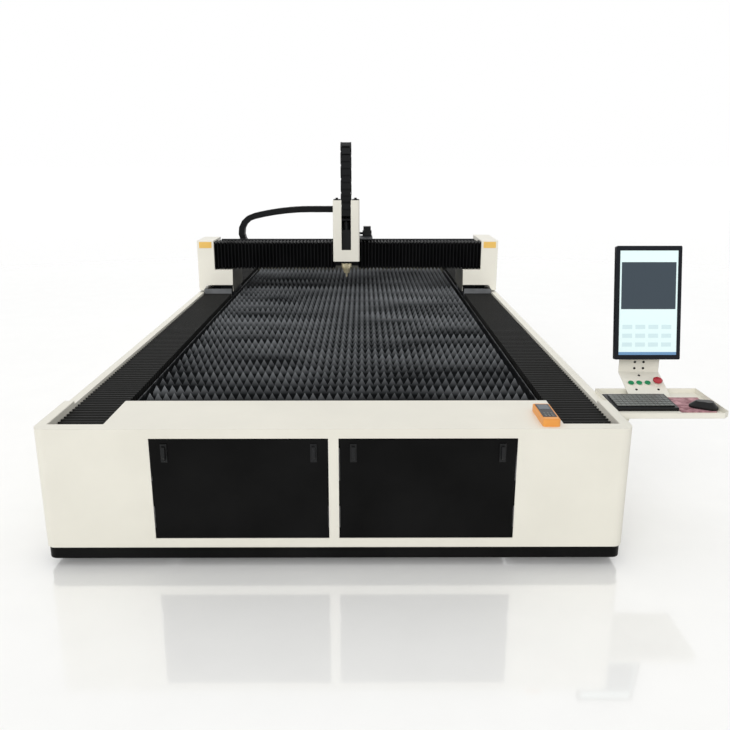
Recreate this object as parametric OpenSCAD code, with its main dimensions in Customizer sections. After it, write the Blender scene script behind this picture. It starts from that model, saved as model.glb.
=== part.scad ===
// Flatbed fiber laser cutting machine: a serrated slat bed between two rail lanes under bellows,
// a gantry with a cutting head on three slides, and an operator console on the right.
// Millimetres. X to the right, Y to the rear, Z up, floor at Z = 0, origin at the middle of the bed.

/* [Bed] */
// Overall width of the casing
bed_width = 2200; // [2100:10:2600]
// Overall length of the casing
bed_length = 4700; // [4600:10:5600]
// Height of the end casings above the floor
table_height = 560; // [540:5:640]
// Plan radius of the casing corners
corner_radius = 40; // [20:1:60]
// Thickness of the casing sheet
sheet = 3; // [2:0.5:4]
// Depth of each end casing, front to back
end_depth = 330; // [300:5:360]
// Width of the strip along the top of each side cover
strip_width = 37; // [32:1:60]
// Drop of the side strips below the end casings
strip_drop = 15; // [8:1:20]
// Width of the folded flanges on the casing sheets
flange = 28; // [20:1:30]
// Height of the levelling feet
foot_height = 35; // [30:1:60]
// Height of the plinth band
plinth_height = 48; // [40:1:70]
// Inset of the plinth behind the casing
plinth_inset = 6; // [2:1:12]
// Width of the plinth channel
plinth_width = 60; // [55:1:90]

/* [Frame] */
// Width of each side beam
beam_width = 176; // [160:2:190]
// Wall of the frame tubes
tube_wall = 10; // [6:1:14]
// Drop of the rail seat below the table
rail_drop = 130; // [120:1:150]
// Height of the cross tubes
cross_height = 80; // [60:2:100]
// Number of cross tubes
cross_count = 7; // [5:1:9]

/* [Slats] */
// Distance from slat to slat
slat_pitch = 110; // [90:5:140]
// Distance from tooth to tooth
tooth_pitch = 34; // [30:1:50]
// Height of a tooth
tooth_height = 34; // [25:1:45]
// Height of a slat to its tooth tips
slat_height = 100; // [80:1:110]
// Thickness of a slat
slat_thickness = 3; // [2:0.5:5]
// Drop of the tooth tips below the table
slat_drop = 15; // [10:1:20]
// Number of cross bars under the slats
rack_bars = 10; // [10:1:13]

/* [Lane bellows] */
// Width of the bellows over each rail lane
bellows_width = 200; // [190:1:206]
// Drop of the bellows below the table
bellows_drop = 25; // [22:1:40]
// Depth of a bellows fold
fold_depth = 14; // [8:1:18]
// Folds of a front bellows
front_folds = 96; // [60:1:110]
// Folds of a rear bellows
rear_folds = 60; // [40:1:80]

/* [Doors] */
// Width of a front door
door_width = 648; // [560:2:660]
// Height of the casing above a front door
door_drop = 41; // [38:1:70]
// Width of the post between the doors
door_post = 46; // [40:1:80]
// Gap around a door
door_gap = 4; // [3.5:0.5:6]
// Depth of a door's folded rim
door_rim = 16; // [10:1:18]

/* [Gantry] */
// Distance of the gantry's front from the bed's front at rest
gantry_at = 2943; // [2500:1:3100]
// Depth of the gantry ends, front to back
gantry_depth = 440; // [420:2:480]
// Height of the gantry above the table
gantry_rise = 361; // [350:1:400]
// Width of the upper part of a gantry end
end_width = 120; // [112:1:130]
// Width of the lower part of a gantry end
shoulder_width = 250; // [240:1:256]
// Height of the cross beam
crossbeam_height = 164; // [150:2:170]
// Depth of the cross beam
crossbeam_depth = 180; // [160:2:190]

/* [Head] */
// Distance of the head from the middle of the beam at rest
head_at = -7; // [-200:1:200]
// Width of the head cover
cover_width = 188; // [180:1:210]
// Height of the head cover
cover_height = 430; // [420:2:470]
// Height of the head cover's foot above the table
cover_rise = 226; // [220:1:240]
// Height of the nozzle tip above the table
nozzle_rise = 106; // [95:1:110]

/* [Chains] */
// Width of the cable chains
chain_width = 75; // [60:1:80]
// Thickness of the beam's cable chain
chain_thick = 44; // [36:1:46]
// Link pitch of the cable chains
link_pitch = 46; // [40:1:60]

/* [Console] */
// Width of the keyboard tray
tray_width = 430; // [420:1:500]
// Depth of the keyboard tray
tray_depth = 323; // [315:1:345]
// Width of the upright monitor
monitor_width = 280; // [260:1:320]
// Height of the upright monitor
monitor_height = 485; // [440:1:520]
// Diameter of the push buttons
button_d = 24; // [18:1:28]
// Diameter of the emergency stop cap
stop_d = 40; // [32:1:44]

/* [Hidden] */
$fn = 48;

// Gap between pieces that move past each other
clear = 0.3;
// Radial gap of a shaft in its bearing
running = 0.05;

// Planes of the bed
half_w = bed_width / 2;
y_front = -bed_length / 2;
y_rear = bed_length / 2;
casing_foot = foot_height + plinth_height;
strip_top = table_height - strip_drop;
rail_seat = table_height - rail_drop;
slat_top = table_height - slat_drop;
slat_foot = slat_top - slat_height;
bellows_top = table_height - bellows_drop;
bellows_foot = rail_seat + 8;

// Rail lanes, the same on both sides
lane_out = half_w - strip_width - 3;
lane_in = lane_out - bellows_width;
lane_mid = (lane_out + lane_in) / 2;
beam_in = lane_mid - beam_width / 2;
beam_out = lane_mid + beam_width / 2;
beam_start = y_front + flange + 4;
anchor_t = 4;
anchor_at = y_front + 56;
bellows_start = anchor_at + anchor_t + clear;

// Rails and racks
rail_w = 23;
rail_h = 24;
rail_x = beam_in + 40;
rack_w = 25;
rack_h = 25;
pinion_r = 30;
pinion_h = 20;
rack_x = rail_x + 38;
pinion_x = rack_x + rack_w + pinion_r + clear;

// Slat field
slat_half = lane_in - 45;
slat_start = y_front + end_depth + 105;
slat_room = bed_length - 2 * (end_depth + 105);
slat_count = floor(slat_room / slat_pitch) + 1;
rack_bar_h = 40;
rack_bar_w = 20;

// Gantry planes
g_front = y_front + gantry_at;
g_rear = g_front + gantry_depth;
g_top = table_height + gantry_rise;
end_out = half_w - 4;
end_in = end_out - end_width;
shoulder_in = end_out - shoulder_width;
shoulder_foot = table_height + 37;
shoulder_top = table_height + 150;
leg_foot = strip_top + 14;
foot_plate_z = rail_seat + 48;
foot_plate_t = 20;

// Cross beam and its bellows
cb_front = g_front + 110;
cb_rear = cb_front + crossbeam_depth;
cb_foot = shoulder_top + 20;
cb_top = cb_foot + crossbeam_height;
cb_half = end_in - 4;
bb_front = g_front + 18;
bb_rear = g_front + 158;
bb_fold = 10;
bb_wall = 3;
bb_foot = cb_foot - bb_fold - bb_wall - 4;
bb_top = cb_top + bb_fold + bb_wall + 4;
xrail_w = 20;
xrail_h = 20;
xrail_z = [cb_foot + 45, cb_top - 45];
xrack_h = 20;
xrack_y = cb_front + 90;
xpinion_r = 22;
xpinion_y = xrack_y + 20 + xpinion_r + clear;

// Carriage and head
saddle_y = cb_front - 68;
saddle_t = 20;
column_t = 20;
column_y = saddle_y - column_t;
column_half = 80;
cover_foot = table_height + cover_rise;
cover_top = cover_foot + cover_height;
cover_front = column_y - 142;
cover_half = cover_width / 2;
column_foot = cb_foot + 10;
zrail_w = 15;
zrail_h = 15;
zrail_inset = 30;
zrail_x = 55;
slide_y = column_y - 45;
slide_t = 15;
screw_y = column_y - 16;
screw_r = 8;
head_y = slide_y - 25;
nozzle_tip = table_height + nozzle_rise;
nozzle_top = nozzle_tip + 103;
slide_foot = nozzle_tip + 190;
slide_top = slide_foot + 230;
column_top = slide_top + 72;

// Cable chains
beam_chain_y = cb_rear + 14 + chain_width / 2;
beam_chain_z = cover_top - 91;
beam_chain_x = head_at - column_half - 10;
big_r = 1800;
big_turn = 14;
small_r = 125;
straight_run = 190;
head_chain_y = cover_front + 26;
head_chain_thick = 35;
head_chain_r = 60;

// Front doors
door_foot = casing_foot + 42;
door_height = table_height - door_drop - door_foot;
door_inner = door_post / 2;
hinge_back = 10;
hinge_up = 14;
hinge_y = y_front + hinge_back;
hinge_z = door_foot + hinge_up;
hinge_r = 4;
hinge_x = [90, door_width - 90];
knuckle_r = 7;
knuckle_l = 80;
ear_t = 6;
sill_y = y_front + 32;

// Console
tray_x = half_w;
tray_y = y_front + 170;
tray_rim = 22;
tray_z = table_height - tray_rim;
tray_sheet = 2;
panel_x = tray_x + 128;
panel_w = 174;
panel_y = tray_y + tray_depth - 55;
panel_run = 158;
panel_rise = 63;
panel_back = panel_y + panel_run;
panel_lift = tray_z + tray_sheet;
screen_foot = panel_lift + panel_rise + 70;
screen_x = tray_x + 90;
screen_y = panel_back - 51;
screen_t = 26;
screen_back = 8;
screen_tilt = 12;
button_travel = 4;
stop_travel = 6;

// Shared shapes
module on_left() { mirror([1, 0, 0]) children(); }
module both_sides() { children(); on_left() children(); }
module along_y(y0, y1) { translate([0, y1, 0]) rotate([90, 0, 0]) linear_extrude(y1 - y0) children(); }
module along_x(x0, x1) { translate([x0, 0, 0]) rotate([90, 0, 90]) linear_extrude(x1 - x0) children(); }
module slab(x0, x1, y0, y1, z0, z1) { translate([x0, y0, z0]) cube([x1 - x0, y1 - y0, z1 - z0]); }
module tube_y(x0, x1, y0, y1, z0, z1, wall) {
    difference() {
        slab(x0, x1, y0, y1, z0, z1);
        slab(x0 + wall, x1 - wall, y0 - 1, y1 + 1, z0 + wall, z1 - wall);
    }
}
module tube_x(x0, x1, y0, y1, z0, z1, wall) {
    difference() {
        slab(x0, x1, y0, y1, z0, z1);
        slab(x0 - 1, x1 + 1, y0 + wall, y1 - wall, z0 + wall, z1 - wall);
    }
}
module round_square(w, h, r) {
    for (x = [r, w - r], y = [r, h - r]) translate([x, y]) circle(r);
    translate([r, 0]) square([w - 2 * r, h]);
    translate([0, r]) square([w, h - 2 * r]);
}
module front_outline(inset, back) {
    r = max(corner_radius - inset, 2);
    w = half_w - inset;
    y = y_front + inset;
    for (s = [-1, 1]) translate([s * (w - r), y + r]) circle(r);
    translate([-(w - r), y]) square([2 * (w - r), back - y]);
    translate([-w, y + r]) square([2 * w, back - y - r]);
}
module ring_outline(inset) {
    r = corner_radius - min(inset, corner_radius - 8);
    w = half_w - inset;
    l = y_rear - inset;
    for (sx = [-1, 1], sy = [-1, 1]) translate([sx * (w - r), sy * (l - r)]) circle(r);
    translate([-w, -(l - r)]) square([2 * w, 2 * (l - r)]);
    translate([-(w - r), -l]) square([2 * (w - r), 2 * l]);
}

// Folded cover: a three-sided zigzag skin closed by a plain tunnel inside.
// Sections run along the first axis; each is [left foot, left top, right top, right foot].
function fold_section(half, top, foot, dip) = [
    [-half + dip, foot], [-half + dip, top - dip], [half - dip, top - dip], [half - dip, foot]
];
module folded_cover(length, folds, half, top, foot, depth, wall) {
    count = 2 * folds;
    step = length / count;
    points = [for (i = [0 : count]) for (p = fold_section(half, top, foot, i % 2 * depth))
        [p[0], i * step, p[1]]];
    sides = [for (i = [0 : count - 1]) for (k = [0 : 3]) [
        4 * i + k, 4 * i + (k + 1) % 4, 4 * (i + 1) + (k + 1) % 4, 4 * (i + 1) + k
    ]];
    triangles = [for (q = sides) for (t = [[q[0], q[2], q[1]], [q[0], q[3], q[2]]]) t];
    last = 4 * count;
    caps = [[0, 1, 2], [0, 2, 3], [last, last + 2, last + 1], [last, last + 3, last + 2]];
    inner = half - depth - wall;
    difference() {
        polyhedron(points, concat(triangles, caps), convexity = 10);
        slab(-inner, inner, -1, length + 1, foot - 1, top - depth - wall);
    }
}

// Base
module plinth() {
    color("#1c1c1e") translate([0, 0, foot_height]) difference() {
        linear_extrude(plinth_height) difference() {
            ring_outline(plinth_inset);
            ring_outline(plinth_inset + plinth_width);
        }
        translate([0, 0, -1]) linear_extrude(plinth_height - sheet + 1) difference() {
            ring_outline(plinth_inset + sheet);
            ring_outline(plinth_inset + plinth_width - sheet);
        }
    }
}
foot_y = bed_length / 2 - 420;
foot_pad = 130;
foot_pad_t = 12;
anchor_r = 9;
anchor_off = 40;
module levelling_feet() {
    color("#8d9093") both_sides() for (y = [-foot_y, 0, foot_y]) translate([lane_mid, y, 0]) {
        difference() {
            slab(-foot_pad / 2, foot_pad / 2, -foot_pad / 2, foot_pad / 2, 0, foot_pad_t);
            translate([-anchor_off, 0, -1]) cylinder(r = anchor_r, h = foot_pad_t + 2);
        }
        cylinder(r = 12, h = casing_foot);
        translate([0, 0, foot_pad_t]) cylinder(r = 20, h = 14, $fn = 6);
        translate([0, 0, casing_foot - 12]) cylinder(r = 20, h = 12, $fn = 6);
    }
}

// Welded frame
module side_beam() {
    tube_y(beam_in, beam_out, beam_start, -beam_start, casing_foot, rail_seat, tube_wall);
    for (s = [-1, 1]) {
        y = s < 0 ? anchor_at : -anchor_at - anchor_t;
        slab(lane_in + 2, lane_out - 2, y, y + anchor_t, rail_seat - 1, bellows_top - 2);
    }
}
module side_beam_right() { color("#303236") side_beam(); }
module side_beam_left() { color("#303236") on_left() side_beam(); }
module cross_members() {
    reach = bed_length / 2 - end_depth - 60;
    color("#303236") for (i = [0 : cross_count - 1]) {
        y = -reach + 2 * reach * i / (cross_count - 1);
        tube_x(-beam_in, beam_in, y - 40, y + 40, casing_foot, casing_foot + cross_height, tube_wall);
    }
}

// Casing
lip_height = 90;
pocket_in = lane_in - 8;
module end_casing() {
    back = y_front + end_depth;
    difference() {
        translate([0, 0, casing_foot]) linear_extrude(table_height - casing_foot) front_outline(0, back);
        translate([0, 0, casing_foot + sheet]) linear_extrude(table_height - casing_foot - 2 * sheet)
            front_outline(sheet, back + 1);
        translate([0, 0, casing_foot - 1]) linear_extrude(sheet + 2) front_outline(flange, back + 1);
        both_sides() slab(pocket_in, lane_out + 1.5, anchor_at - 2, back + 1,
            table_height - sheet - 1, table_height + 1);
    }
    slab(-pocket_in, pocket_in, back - sheet, back, table_height - lip_height, table_height - 1);
}
module front_casing() {
    color("#e8e6dc") difference() {
        end_casing();
        both_sides() slab(door_inner - door_gap, door_inner + door_width + door_gap,
            y_front - 1, y_front + sheet + 1, door_foot - door_gap, door_foot + door_height + door_gap);
    }
}
duct_r = 100;
duct_length = 60;
duct_z = 300;
module rear_casing() {
    color("#e8e6dc") difference() {
        mirror([0, 1, 0]) end_casing();
        translate([0, y_rear + 1, duct_z]) rotate([90, 0, 0]) cylinder(r = duct_r - 2, h = sheet + 2);
    }
}
module exhaust_collar() {
    color("#9a9da0") translate([0, y_rear, duct_z]) rotate([-90, 0, 0]) difference() {
        union() {
            cylinder(r = duct_r + 25, h = 3);
            cylinder(r = duct_r, h = duct_length);
        }
        translate([0, 0, -1]) cylinder(r = duct_r - 2, h = duct_length + 2);
    }
}
strip_lip = 40;
module side_cover() {
    o = half_w;
    i = half_w - strip_width;
    along_y(y_front + end_depth, y_rear - end_depth) polygon([
        [o, casing_foot], [o, strip_top], [i, strip_top], [i, strip_top - strip_lip],
        [i + sheet, strip_top - strip_lip], [i + sheet, strip_top - sheet], [o - sheet, strip_top - sheet],
        [o - sheet, casing_foot + sheet], [o - flange, casing_foot + sheet], [o - flange, casing_foot]
    ]);
}
module side_cover_right() { color("#e8e6dc") side_cover(); }
module side_cover_left() { color("#e8e6dc") on_left() side_cover(); }

// Doors on bottom hinges
module hinge_bar(r, length) {
    translate([-length / 2, hinge_y, hinge_z]) rotate([0, 90, 0]) cylinder(r = r, h = length);
}
module door_sill() {
    reach = door_inner + door_width + 20;
    ear_at = knuckle_l / 2 + clear;
    color("#303236") {
        slab(-reach, reach, sill_y, sill_y + 4, casing_foot, hinge_z + 8);
        both_sides() for (x = hinge_x) translate([door_inner + x, 0, 0]) {
            hinge_bar(hinge_r, knuckle_l + 2 * ear_t);
            both_sides() {
                slab(ear_at, ear_at + ear_t, hinge_y, sill_y + 1, hinge_z - ear_t, hinge_z + ear_t);
                translate([ear_at + ear_t / 2, 0, 0]) hinge_bar(ear_t, ear_t);
            }
        }
    }
}
door_skin = 2;
module door() {
    x0 = door_inner;
    x1 = door_inner + door_width;
    z1 = door_foot + door_height;
    difference() {
        union() {
            slab(x0, x1, y_front, y_front + door_skin, door_foot, z1);
            slab(x0, x0 + door_skin, y_front, y_front + door_rim, door_foot, z1);
            slab(x1 - door_skin, x1, y_front, y_front + door_rim, door_foot, z1);
            slab(x0, x1, y_front, y_front + door_rim, z1 - door_skin, z1);
            for (x = hinge_x) translate([x0 + x, 0, 0]) {
                hinge_bar(knuckle_r, knuckle_l);
                slab(-knuckle_l / 2, knuckle_l / 2, y_front + 1, hinge_y, hinge_z - 5, hinge_z + 5);
            }
        }
        for (x = hinge_x) translate([x0 + x, 0, 0]) hinge_bar(hinge_r + running, knuckle_l + 1);
    }
}
module door_right() { color("#101012") door(); }
module door_left() { color("#101012") on_left() door(); }
handle_w = 24;
handle_h = 71;
handle_drop = 16;
handle_in = 50;
module door_handles() {
    z1 = door_foot + door_height - handle_drop;
    for (x = [door_inner + handle_in, door_inner + door_width - handle_in]) translate([x, y_front, 0]) {
        slab(-handle_w / 2, handle_w / 2, -4, 0, z1 - handle_h, z1);
        along_x(-handle_w / 4, handle_w / 4) polygon([
            [-1, z1 - handle_h + 6], [-14, z1 - handle_h + 14], [-18, z1 - handle_h + 24],
            [-14, z1 - 10], [-1, z1 - 5]
        ]);
    }
}
module door_handles_right() { color("#0a0a0b") door_handles(); }
module door_handles_left() { color("#0a0a0b") on_left() door_handles(); }

// Slat bed
module slat_rack() {
    y0 = slat_start - 40;
    bar_z = slat_foot - rack_bar_h;
    color("#5b5d60") {
        for (x = [-slat_half + 30, 0, slat_half - 30])
            slab(x - rack_bar_w / 2, x + rack_bar_w / 2, y0, -y0, bar_z, slat_foot);
        for (i = [0 : rack_bars - 1]) {
            y = y0 + rack_bar_w / 2 + (-2 * y0 - rack_bar_w) * i / (rack_bars - 1);
            slab(-beam_in, beam_in, y - rack_bar_w / 2, y + rack_bar_w / 2,
                bar_z - rack_bar_h, bar_z - clear);
        }
        both_sides() slab(lane_in - 10, lane_in - 6, y0, -y0, bar_z, slat_top - 35);
    }
}
module slat() {
    teeth = floor(2 * slat_half / tooth_pitch);
    pitch = 2 * slat_half / teeth;
    valley = slat_top - tooth_height;
    tips = [for (k = [teeth - 1 : -1 : 0]) each [
        [-slat_half + (k + 0.5) * pitch, slat_top], [-slat_half + k * pitch, valley]
    ]];
    base = [[-slat_half, slat_foot], [slat_half, slat_foot], [slat_half, valley]];
    along_y(0, slat_thickness) polygon(concat(base, tips));
}
module cutting_slats() {
    spare = (slat_room - (slat_count - 1) * slat_pitch) / 2;
    color("#4a4c4e") for (i = [0 : slat_count - 1])
        translate([0, slat_start + spare + i * slat_pitch, 0]) slat();
}
bin_start = 75;
bin_length = bed_length / 2 - bin_start - 25;
bin_wall = 2;
bin_gap = 12;
module slag_bin() {
    x0 = door_inner + bin_gap;
    x1 = door_inner + door_width - bin_gap;
    y0 = y_front + bin_start;
    z0 = casing_foot + cross_height;
    z1 = slat_foot - 2 * rack_bar_h - 15;
    difference() {
        slab(x0, x1, y0, y0 + bin_length, z0, z1);
        slab(x0 + bin_wall, x1 - bin_wall, y0 + bin_wall, y0 + bin_length - bin_wall, z0 + bin_wall, z1 + 1);
    }
}
module slag_bins() {
    color("#77797c") both_sides() {
        slag_bin();
        mirror([0, 1, 0]) slag_bin();
    }
}

// Rail lanes
module rail_profile(w, h) {
    polygon([
        [-w / 2, 0], [w / 2, 0], [w / 2, h * 0.35], [w * 0.36, h * 0.5],
        [w * 0.36, h * 0.65], [w / 2, h * 0.8], [w / 2, h], [-w / 2, h],
        [-w / 2, h * 0.8], [-w * 0.36, h * 0.65], [-w * 0.36, h * 0.5], [-w / 2, h * 0.35]
    ]);
}
module lane_rails() {
    color("#b4b7ba") both_sides() {
        translate([rail_x, 0, rail_seat]) along_y(bellows_start, -bellows_start) rail_profile(rail_w, rail_h);
        slab(rack_x, rack_x + rack_w, bellows_start, -bellows_start, rail_seat, rail_seat + rack_h);
    }
}
plate_t = 8;
lane_wall = 4;
module lane_bellows(y0, y1, folds) {
    color("#1a1a1b") translate([lane_mid, y0, 0])
        folded_cover(y1 - y0, folds, bellows_width / 2 - 1, bellows_top, bellows_foot, fold_depth, lane_wall);
}
module bellows_front_right() { lane_bellows(bellows_start, g_front - plate_t - clear, front_folds); }
module bellows_front_left() { on_left() bellows_front_right(); }
module bellows_rear_right() { lane_bellows(g_rear + plate_t + clear, -bellows_start, rear_folds); }
module bellows_rear_left() { on_left() bellows_rear_right(); }

// Gantry feet and drives
foot_in = lane_in + 8;
riser_in = foot_in;
riser_out = pinion_x - 40;
riser_front = bb_rear + 4;
riser_rear = g_rear - 40;
riser_wall = 12;
motor_y = (g_front + g_rear) / 2;
shaft_r = 10;
module gantry_feet() {
    color("#26282b") both_sides() difference() {
        union() {
            slab(foot_in, lane_out - 4, g_front, g_rear, foot_plate_z, foot_plate_z + foot_plate_t);
            slab(riser_in, riser_out, riser_front, riser_rear, foot_plate_z + foot_plate_t - 1, cb_foot);
        }
        slab(riser_in + riser_wall, riser_out - riser_wall, riser_front + riser_wall, riser_rear - riser_wall,
            foot_plate_z + foot_plate_t, cb_foot + 1);
        translate([pinion_x, motor_y, foot_plate_z - 1])
            cylinder(r = shaft_r + running, h = foot_plate_t + 2);
    }
}
block_w = 60;
block_l = 90;
module guide_block(w, l, h, rail_width, rail_height) {
    difference() {
        slab(-w / 2, w / 2, -l / 2, l / 2, 6, h);
        slab(-rail_width / 2 - clear, rail_width / 2 + clear, -l / 2 - 1, l / 2 + 1, 0, rail_height + clear);
    }
}
module lane_blocks() {
    inset = block_l / 2 + 25;
    color("#8d9093") both_sides() for (y = [g_front + inset, g_rear - inset])
        translate([rail_x, y, rail_seat])
            guide_block(block_w, block_l, foot_plate_z - rail_seat, rail_w, rail_h);
}
module bellows_plates() {
    color("#8d9093") both_sides() for (y = [g_front - plate_t, g_rear])
        slab(lane_in, lane_out, y, y + plate_t, rail_seat + rack_h + 5, bellows_top + 35);
}
gearbox_half = 33;
gearbox_h = 100;
motor_half = 29;
module lane_motors() {
    z = foot_plate_z + foot_plate_t;
    color("#1d1d1f") both_sides() translate([pinion_x, motor_y, 0]) {
        slab(-gearbox_half, gearbox_half, -gearbox_half, gearbox_half, z, z + gearbox_h);
        slab(-motor_half, motor_half, -motor_half, motor_half, z + gearbox_h, shoulder_top - sheet - 4);
    }
}
module gear(r, teeth, h) {
    root = r - 4;
    tooth = [[-0.3, root], [-0.14, r], [0.14, r], [0.3, root]];
    linear_extrude(h) polygon([for (k = [0 : teeth - 1], q = tooth)
        let (a = (k + q[0]) * 360 / teeth) [q[1] * cos(a), q[1] * sin(a)]]);
}
module lane_pinion() {
    translate([pinion_x, motor_y, rail_seat + 3]) {
        gear(pinion_r, 24, pinion_h);
        cylinder(r = shaft_r, h = foot_plate_z + foot_plate_t - rail_seat - 3 - clear);
    }
}
module lane_pinion_right() { color("#b4b7ba") lane_pinion(); }
module lane_pinion_left() { color("#b4b7ba") on_left() lane_pinion(); }

// Gantry end covers
skirt_foot = slat_top + 7;
module gantry_end() {
    difference() {
        along_y(g_front, g_rear) polygon([
            [end_out, leg_foot], [end_out, g_top], [end_in, g_top], [end_in, shoulder_top],
            [shoulder_in, shoulder_top], [shoulder_in, skirt_foot], [shoulder_in + sheet, skirt_foot],
            [shoulder_in + sheet, shoulder_foot], [end_out - 54, shoulder_foot], [end_out - 34, leg_foot]
        ]);
        along_y(g_front + sheet, g_rear - sheet) polygon([
            [end_out - sheet, leg_foot - 1], [end_out - sheet, g_top - sheet],
            [end_in + sheet, g_top - sheet], [end_in + sheet, shoulder_top - sheet],
            [shoulder_in + sheet, shoulder_top - sheet], [shoulder_in + sheet, shoulder_foot - 1],
            [end_out - 60, shoulder_foot - 1], [end_out - 40, leg_foot - 1]
        ]);
        slab(riser_in, riser_out + 2, riser_front - 2, riser_rear + 2, shoulder_foot, shoulder_top + 1);
    }
}
module gantry_end_right() { color("#e8e6dc") gantry_end(); }
module gantry_end_left() { color("#e8e6dc") on_left() gantry_end(); }
module marker_plates() {
    w = end_width - 30;
    color("#e8a93a") both_sides()
        slab(end_out - 15 - w, end_out - 15, g_front - 1.5, g_front, g_top - 52, g_top - 8);
}

// Cross beam
module gantry_beam() { color("#2c2e31") tube_x(-cb_half, cb_half, cb_front, cb_rear, cb_foot, cb_top, 12); }
module beam_rails() {
    reach = cb_half - 20;
    color("#b4b7ba") {
        for (z = xrail_z) translate([0, cb_front, z]) rotate([90, 0, 0])
            along_x(-reach, reach) rail_profile(xrail_w, xrail_h);
        slab(-reach, reach, xrack_y, xrack_y + 20, cb_top, cb_top + xrack_h);
    }
}
beam_chain_low = beam_chain_z - big_r * (1 - cos(big_turn)) - small_r * (1 + cos(big_turn));
tray_bed = beam_chain_low - chain_thick / 2 - clear;
module chain_tray() {
    back = beam_chain_y + chain_width / 2 + 8;
    color("#3a3c3f") along_x(-cb_half, 40) polygon([
        [cb_rear, tray_bed - 30], [cb_rear + 2, tray_bed - 30], [cb_rear + 2, tray_bed - 2],
        [back, tray_bed - 2], [back, tray_bed + 18], [back - 2, tray_bed + 18], [back - 2, tray_bed],
        [cb_rear, tray_bed]
    ]);
}
bb_pitch = 25;
saddle_half = 85;
module beam_bellows(x0, x1) {
    color("#141415") translate([x0, 0, (bb_top + bb_foot) / 2]) rotate([0, 90, -90])
        folded_cover(x1 - x0, round((x1 - x0) / bb_pitch), (bb_top - bb_foot) / 2,
            -bb_front, -bb_rear, bb_fold, bb_wall);
}
module beam_bellows_left() { beam_bellows(-end_in + clear, head_at - saddle_half - clear); }
module beam_bellows_right() { beam_bellows(head_at + saddle_half + clear, end_in - clear); }

// Cable chains: links laid from point to point along a path of arcs and straights
link_wall = 5;
link_bar = 4;
link_round = 7;
link_gap = 0.8;
// Largest turn between neighbouring links that leaves their corners square
square_turn = 4;
function turn_between(a, b, c) = let (u = b - a, v = c - b) acos(min(1, u * v / norm(u) / norm(v)));
module link(length, width, thick, turn) {
    half = width / 2;
    bent = turn > square_turn;
    r = bent ? thick / 2 - 0.5 : link_round;
    margin = length * (bent ? 0.2 : 0.1);
    for (s = [-1, 1]) translate([0, s * (half - link_wall / 2), -thick / 2]) rotate([90, 0, 0])
        linear_extrude(link_wall, center = true) round_square(length, thick, r);
    for (z = [-thick / 2, thick / 2 - link_bar])
        slab(margin, length - margin, -half + link_wall - 1, half - link_wall + 1, z, z + link_bar);
}
// Place and heading at a distance along the beam chain, from the head to its fixed end
function beam_chain_at(s) =
    let (arc1 = big_r * big_turn * PI / 180, turn2 = 180 - big_turn, arc2 = small_r * turn2 * PI / 180)
    let (x1 = -straight_run, x2 = x1 - big_r * sin(big_turn), z2 = -big_r * (1 - cos(big_turn)))
    let (cx = x2 + small_r * sin(big_turn), cz = z2 - small_r * cos(big_turn))
    s < straight_run ? [-s, 0]
    : s < straight_run + arc1 ? let (a = (s - straight_run) / big_r * 180 / PI)
        [x1 - big_r * sin(a), -big_r * (1 - cos(a))]
    : s < straight_run + arc1 + arc2
        ? let (a = 90 + big_turn + (s - straight_run - arc1) / small_r * 180 / PI)
        [cx + small_r * cos(a), cz + small_r * sin(a)]
    : [cx + s - straight_run - arc1 - arc2, cz - small_r];
beam_chain_links = 34;
module beam_chain() {
    color("#1b1b1c") translate([beam_chain_x - clear, beam_chain_y, beam_chain_z])
        for (i = [0 : beam_chain_links - 1]) {
            before = beam_chain_at((i - 1) * link_pitch);
            a = beam_chain_at(i * link_pitch);
            b = beam_chain_at((i + 1) * link_pitch);
            after = beam_chain_at((i + 2) * link_pitch);
            turn = max(turn_between(before, a, b), turn_between(a, b, after));
            d = b - a;
            translate([a[0], 0, a[1]]) rotate([0, -atan2(d[1], d[0]), 0])
                link(norm(d) - link_gap, chain_width, min(chain_thick, norm(d) - 2), turn);
        }
}

// Carriage on the beam
bracket_z = cb_top + 30;
bracket_t = 8;
beam_motor_x = head_at + 150;
xshaft_r = 7;
module saddle() {
    color("#303236") difference() {
        union() {
            slab(head_at - saddle_half, head_at + saddle_half, saddle_y, saddle_y + saddle_t,
                cb_foot + 5, bracket_z + 1);
            slab(head_at - saddle_half, beam_motor_x + 40, saddle_y, xpinion_y + 40,
                bracket_z, bracket_z + bracket_t);
        }
        translate([beam_motor_x, xpinion_y, bracket_z - 1])
            cylinder(r = xshaft_r + running, h = bracket_t + 2);
    }
}
xblock_l = 60;
xblock_w = 44;
module beam_blocks() {
    color("#8d9093") for (z = xrail_z, x = [-50, 50]) translate([head_at + x, cb_front, z]) rotate([90, 0, 0])
        rotate([0, 0, 90]) guide_block(xblock_w, xblock_l, cb_front - saddle_y - saddle_t, xrail_w, xrail_h);
}
module beam_motor() {
    z = bracket_z + bracket_t;
    color("#161617") translate([beam_motor_x, xpinion_y, 0]) {
        slab(-34, 34, -34, 34, z, z + 40);
        slab(-28, 28, -28, 28, z + 40, z + 72);
        translate([-28, 0, z + 20]) rotate([0, -90, 0]) cylinder(r = 9, h = 30);
    }
}
module beam_pinion() {
    color("#b4b7ba") translate([beam_motor_x, xpinion_y, cb_top + 2]) {
        gear(xpinion_r, 20, xrack_h - 4);
        cylinder(r = xshaft_r, h = bracket_z + bracket_t - cb_top - 2 - clear);
    }
}

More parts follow.
